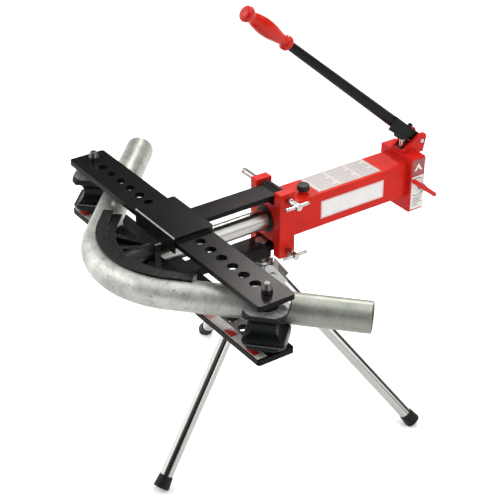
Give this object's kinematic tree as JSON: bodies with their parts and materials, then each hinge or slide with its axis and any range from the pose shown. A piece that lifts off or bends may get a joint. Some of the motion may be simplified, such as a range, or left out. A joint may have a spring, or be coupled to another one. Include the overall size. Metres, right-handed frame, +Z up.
{
  "type": "manual tube bender",
  "caption": "Hand-pumped hydraulic ram tube bender: cross plates with pinned swivel followers, half-moon former on a chrome ram, pump lever and folding tripod.",
  "frame": {"origin": "on the floor, at the middle of the machine's plan outline", "axes": "+X across the cross plates, -Y towards the bending former, +Z up"},
  "size_m": [0.849, 0.7971, 0.9432],
  "materials": {
    "red_paint": "gloss enamel",
    "red_cast": "gloss enamel on cast steel",
    "black_plate": "satin black enamel",
    "black_lever": "satin black enamel",
    "black_casting": "black lacquered casting",
    "chrome_ram": "polished hard chrome",
    "chrome_leg": "bright plated tube",
    "bright_pin": "bright plated steel",
    "dark_pin": "turned steel",
    "zinc_plate": "zinc plated",
    "galvanised": "hot dip galvanised",
    "inner_steel": "machined steel",
    "black_steel": "blackened steel",
    "red_grip": "glossy moulded",
    "black_plastic": "moulded",
    "rubber_foot": "moulded rubber",
    "label_white": "laminated label",
    "label_scale": "laminated label",
    "label_badge": "laminated label"
  },
  "bodies": {
    "machine": {"lower_cross_plate": "black_plate", "lower_stem": "black_plate", "lower_head_plate": "black_plate", "tripod_mount_block": "black_plate", "scale_strips": "label_scale", "front_yoke": "red_paint", "gland_ring": "black_steel", "ram_wiper": "rubber_foot", "housing_shell": "red_paint", "cylinder_barrel": "inner_steel", "filler_boss": "red_cast", "pump_block": "red_cast", "plunger_sleeve": "black_steel", "pump_bracket_floor": "red_cast", "pump_ear_right": "red_cast", "pump_ear_left": "red_cast", "lever_pivot_pin": "bright_pin", "check_valve_ball": "inner_steel", "check_valve_spring": "inner_steel", "block_screws": "black_steel", "label_plate_top": "label_white", "label_plate_side": "label_white", "badge_plate": "label_badge", "valve_label_plate": "label_white", "tripod_hub": "zinc_plate", "hub_bolt": "zinc_plate", "leg_pins": "zinc_plate", "leg_bracket_a": "zinc_plate", "leg_bracket_b": "zinc_plate", "leg_bracket_c": "zinc_plate"},
    "upper_frame": {"upper_cross_plate": "black_plate", "upper_stem": "black_plate", "upper_head_plate": "black_plate"},
    "ram": {"ram_rod": "chrome_ram", "ram_piston": "inner_steel", "bending_former": "black_casting", "workpiece_tube": "galvanised"},
    "follower_r": {"follower_right": "black_casting"},
    "follower_l": {"follower_left": "black_casting"},
    "post_r": {"follower_pin_right": "dark_pin"},
    "post_l": {"follower_pin_left": "dark_pin"},
    "upper_pin": {"upper_hinge_pin": "bright_pin", "upper_tommy_bar": "bright_pin"},
    "lower_pin": {"lower_hinge_pin": "bright_pin", "lower_tommy_bar": "bright_pin"},
    "lever": {"lever_bar": "black_lever", "lever_grip": "red_grip", "lever_socket": "black_lever", "lever_clamp_screw": "black_steel"},
    "plunger": {"pump_plunger": "bright_pin"},
    "release_valve": {"release_valve_stem": "bright_pin", "release_valve_collar": "black_steel", "release_valve_bar": "red_cast"},
    "cap": {"filler_cap": "black_plastic"},
    "leg_a": {"leg_tube_a": "chrome_leg", "leg_foot_a": "rubber_foot"},
    "leg_b": {"leg_tube_b": "chrome_leg", "leg_foot_b": "rubber_foot"},
    "leg_c": {"leg_tube_c": "chrome_leg", "leg_foot_c": "rubber_foot"}
  },
  "joints": [
    {"name": "ram_slide", "type": "slide", "parent": "machine", "child": "ram", "axis": [0, 1, 0], "range_m": [0, 0.2]},
    {"name": "upper_frame_hinge", "type": "hinge", "parent": "machine", "child": "upper_frame", "pos_m": [0, 0.01346, 0.538], "axis": [-1, 0, 0], "range_deg": [0, 50]},
    {"name": "follower_right_swivel", "type": "hinge", "parent": "machine", "child": "follower_r", "pos_m": [0.308, -0.22254, 0.4805], "axis": [0, 0, 1], "range_deg": [-43.3, 0]},
    {"name": "follower_left_swivel", "type": "hinge", "parent": "machine", "child": "follower_l", "pos_m": [-0.308, -0.22254, 0.4805], "axis": [0, 0, 1], "range_deg": [0, 43.3]},
    {"name": "follower_pin_right_lift", "type": "slide", "parent": "machine", "child": "post_r", "axis": [0, 0, 1], "range_m": [0, 0.16]},
    {"name": "follower_pin_left_lift", "type": "slide", "parent": "machine", "child": "post_l", "axis": [0, 0, 1], "range_m": [0, 0.16]},
    {"name": "upper_pin_pull", "type": "slide", "parent": "machine", "child": "upper_pin", "axis": [1, 0, 0], "range_m": [0, 0.15]},
    {"name": "lower_pin_pull", "type": "slide", "parent": "machine", "child": "lower_pin", "axis": [1, 0, 0], "range_m": [0, 0.15]},
    {"name": "lever_pivot", "type": "hinge", "parent": "machine", "child": "lever", "pos_m": [0, 0.38747, 0.5505], "axis": [-1, 0, 0], "range_deg": [-15, 30]},
    {"name": "plunger_stroke", "type": "slide", "parent": "machine", "child": "plunger", "axis": [0, 0, 1], "range_m": [-0.0105, 0.021]},
    {"name": "release_valve_turn", "type": "hinge", "parent": "machine", "child": "release_valve", "pos_m": [0.062, 0.36396, 0.4635], "axis": [1, 0, 0], "range_deg": [0, 180]},
    {"name": "filler_cap_turn", "type": "hinge", "parent": "machine", "child": "cap", "pos_m": [0.013, 0.07846, 0.5305], "axis": [0, 0, 1], "continuous": true},
    {"name": "leg_a_fold", "type": "hinge", "parent": "machine", "child": "leg_a", "pos_m": [0.00786, -0.03932, 0.3585], "axis": [0.9532, 0.3024, 0], "range_deg": [0, 35]},
    {"name": "leg_b_fold", "type": "hinge", "parent": "machine", "child": "leg_b", "pos_m": [0.01753, 0.00466, 0.3585], "axis": [-0.7385, 0.6743, 0], "range_deg": [0, 35]},
    {"name": "leg_c_fold", "type": "hinge", "parent": "machine", "child": "leg_c", "pos_m": [-0.02539, -0.00895, 0.3585], "axis": [-0.2147, -0.9767, 0], "range_deg": [0, 35]}
  ],
  "couplings": [
    {"joint": "follower_right_swivel", "follows": "ram_slide", "rad_per_m": -3.7786},
    {"joint": "follower_left_swivel", "follows": "ram_slide", "rad_per_m": 3.7786},
    {"joint": "plunger_stroke", "follows": "lever_pivot", "m_per_rad": 0.04}
  ]
}
